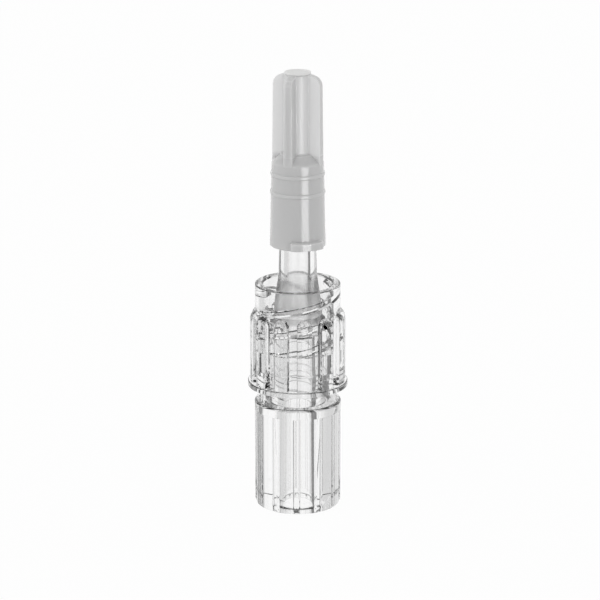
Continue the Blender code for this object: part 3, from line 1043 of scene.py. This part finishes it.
@dataclass(frozen=True)
class Studio:
    """A white sweep inside a bright surround with darker gaps, seen from the photograph's angle."""

    distance: float = 295.0
    elevation: float = math.radians(16.3)
    centre_height: float = 24.6
    side_shift: float = 0.26
    lens: float = 153.24
    floor_size: float = 3000.0
    floor_gap: float = 0.03
    white_share: float = 0.97
    paper: str = "ececec"
    ceiling: tuple[float, float] = (0.35, 0.75)
    ceiling_loss: float = 0.35
    ground: tuple[float, float] = (-0.40, -0.75)
    ground_loss: float = 0.2
    clear_loss: float = 0.04
    gaps: tuple[Gap, ...] = (
        Gap(46, 54, 98, 116, 0.78),
        Gap(-104, -92, -40, -20, 0.28),
        Gap(162, 170, 202, 212, 0.60),
    )
    front_right: tuple[float, float] = (60.0, 140.0)
    front_left: tuple[float, float] = (-100.0, -165.0)
    front_loss: float = 0.17
    softbox_place: tuple[float, float, float] = (-300, -300, 160)
    softbox_size: tuple[float, float] = (80, 300)
    softbox_power: float = 0.06
    panel_turn: float = math.radians(149)
    panel_reach: float = 60.0
    panel_height: float = 8.0
    panel_size: tuple[float, float] = (31.0, 80.0)
    panel_power: float = 0.03
    bounces: int = 32

    def camera(self) -> None:
        """Place the camera."""
        data = bpy.data.cameras.new("photo_camera")
        data.lens = self.lens
        data.sensor_width = 36.0
        data.clip_start = 0.01
        data.clip_end = 100.0
        made = bpy.data.objects.new("photo_camera", data)
        made.location = (self.side_shift * MM, -self.distance * math.cos(self.elevation) * MM,
                         (self.centre_height + self.distance * math.sin(self.elevation)) * MM)
        made.rotation_euler = (math.pi / 2 - self.elevation, 0.0, 0.0)
        bpy.context.scene.collection.objects.link(made)
        bpy.context.scene.camera = made

    def surround(self, tree: bpy.types.NodeTree, x: Field, y: Field) -> Field:
        """Brightness of the studio by direction: white, with gaps behind clear plastic and a dimmer front.

        Args:
            tree: The node tree that gets it.
            x: The direction's first coordinate.
            y: The direction's second coordinate.

        Returns:
            The brightness.
        """
        path = add_node(tree, "ShaderNodeLightPath")
        bent = Field(tree, path.outputs["Is Transmission Ray"])
        soft = Field(tree, path.outputs["Is Diffuse Ray"])
        azimuth = x.math("ARCTAN2", y) * math.degrees(1)
        full_turn = azimuth + azimuth.math("LESS_THAN", 0.0) * 360.0
        glow = bent * -self.clear_loss + 1.0
        for gap in self.gaps:
            turned = full_turn if gap.last > 180 else azimuth
            glow = glow - turned.ramp(gap.start, gap.full) * turned.ramp(gap.end, gap.last) * bent * gap.loss
        front = azimuth.ramp(*self.front_right).math("MAXIMUM", azimuth.ramp(*self.front_left)) * soft
        return glow - front * self.front_loss

    def floor(self) -> None:
        """Lay the plain white floor. Mirrored and bent rays pass it and see the surround instead."""
        half = self.floor_size * MM / 2
        low = -self.floor_gap * MM
        mesh = bpy.data.meshes.new("white_floor")
        corners = [(-half, -half, low), (half, -half, low), (half, half, low), (-half, half, low)]
        mesh.from_pydata(corners, [], [(0, 1, 2, 3)])
        made = bpy.data.objects.new("white_floor", mesh)
        bpy.context.scene.collection.objects.link(made)
        finish = bpy.data.materials.new("white_paper_sweep")
        finish.use_nodes = True
        tree = finish.node_tree
        tree.nodes.clear()
        path = add_node(tree, "ShaderNodeLightPath")
        camera, bent, mirrored = (Field(tree, path.outputs[f"Is {kind} Ray"])
                                  for kind in ("Camera", "Transmission", "Glossy"))
        paper = add_node(tree, "ShaderNodeBsdfDiffuse", {"Color": linear(self.paper)})
        glow = add_node(tree, "ShaderNodeEmission", {"Color": (1, 1, 1, 1), "Strength": 1.0})
        seen = add_node(tree, "ShaderNodeMixShader",
                        {0: camera * self.white_share, 1: paper.outputs[0], 2: glow.outputs[0]})
        clear = add_node(tree, "ShaderNodeBsdfTransparent", {"Color": (1, 1, 1, 1)})
        passed = bent.math("MAXIMUM", mirrored)
        mix = add_node(tree, "ShaderNodeMixShader", {0: passed, 1: seen.outputs[0], 2: clear.outputs[0]})
        add_node(tree, "ShaderNodeOutputMaterial", {"Surface": mix.outputs[0]})
        mesh.materials.append(finish)

    def world(self) -> None:
        """Surround the object with bright panels and darker gaps that draw its edges."""
        world = bpy.data.worlds.new("studio_surround")
        bpy.context.scene.world = world
        world.use_nodes = True
        tree = world.node_tree
        tree.nodes.clear()
        way = add_node(tree, "ShaderNodeTexCoord").outputs["Generated"]
        parts = add_node(tree, "ShaderNodeSeparateXYZ", {0: way})
        x, y, z = (Field(tree, output) for output in parts.outputs)
        above_and_below = z.ramp(*self.ceiling) * self.ceiling_loss + z.ramp(*self.ground) * self.ground_loss
        glow = self.surround(tree, x, y) - above_and_below
        path = add_node(tree, "ShaderNodeLightPath")
        camera = Field(tree, path.outputs["Is Camera Ray"])
        strength = glow * (camera * -1.0 + 1.0) + camera
        back = add_node(tree, "ShaderNodeBackground", {"Color": (1, 1, 1, 1), "Strength": strength})
        add_node(tree, "ShaderNodeOutputWorld", {"Surface": back.outputs[0]})

    def lamp(self, name: str, place: tuple[float, float, float], size: tuple[float, float], power: float,
             aim: float) -> bpy.types.Object:
        """Hang one soft box that faces the object.

        Args:
            name: The lamp's name.
            place: Where it hangs, in millimetres.
            size: Its width and height, in millimetres.
            power: Its power in watts.
            aim: The height on the axis that it faces, in millimetres.

        Returns:
            The lamp.
        """
        data = bpy.data.lights.new(name, "AREA")
        data.shape = "RECTANGLE"
        data.size, data.size_y = size[0] * MM, size[1] * MM
        data.energy = power
        made = bpy.data.objects.new(name, data)
        made.location = Vector(place) * MM
        target = Vector((0, 0, aim)) * MM
        made.rotation_euler = (target - made.location).to_track_quat("-Z", "Y").to_euler()
        bpy.context.scene.collection.objects.link(made)
        return made

    def panel(self, mirror: bpy.types.Object) -> None:
        """Stand a bright panel beside the camera that only the surface of one piece mirrors.

        Args:
            mirror: The piece.
        """
        reach, turn = self.panel_reach, self.panel_turn
        place = (reach * math.sin(turn), reach * math.cos(turn), self.panel_height)
        lit = self.lamp("cap_highlight_panel", place, self.panel_size, self.panel_power, self.panel_height)
        lit.visible_camera = False
        lit.visible_diffuse = False
        lit.visible_transmission = False
        group = bpy.data.collections.new("cap_highlight_receiver")
        group.objects.link(mirror)
        lit.light_linking.receiver_collection = group

    def build(self, cap: bpy.types.Object) -> None:
        """Make the whole studio.

        Args:
            cap: The satin cap, which gets a highlight panel of its own.
        """
        self.camera()
        self.floor()
        self.world()
        self.lamp("strip_softbox", self.softbox_place, self.softbox_size, self.softbox_power, self.centre_height)
        self.panel(cap)
        bpy.context.scene.view_settings.view_transform = "Standard"
        bpy.context.scene.cycles.max_bounces = self.bounces
        bpy.context.scene.cycles.transmission_bounces = self.bounces


def main() -> None:
    """Build the studio and the four pieces, and tie each piece to its body."""
    logging.basicConfig(level=logging.INFO)
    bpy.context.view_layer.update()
    clear = ClearPlastic()
    moulding = LuerBody().build(clear.build("clear_plastic_body", True))
    collar = LockCollar().build(clear.build("clear_plastic_collar", False))
    cap = VentCap().build(GreyPlastic().build("translucent_grey_plastic"))
    disc = VentFilter().build(WhiteMembrane().build("white_porous_membrane"))
    pieces = [
        (moulding, Node.BODY, "body", "clear_plastic"),
        (collar, Node.COLLAR, "collar", "clear_plastic"),
        (cap, Node.CAP, "cap", "grey_plastic"),
        (disc, Node.FILTER, "cap", "white_membrane"),
    ]
    for piece, node, body, slot in pieces:
        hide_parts(node.value)
        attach(piece, body)
        triangles = sum(len(face.vertices) - 2 for face in piece.data.polygons)
        log.info("%s stands for %s on %s, %d triangles", piece.name, node.value, body, triangles)
    Studio().build(cap)


if __name__ == "__main__":
    main()
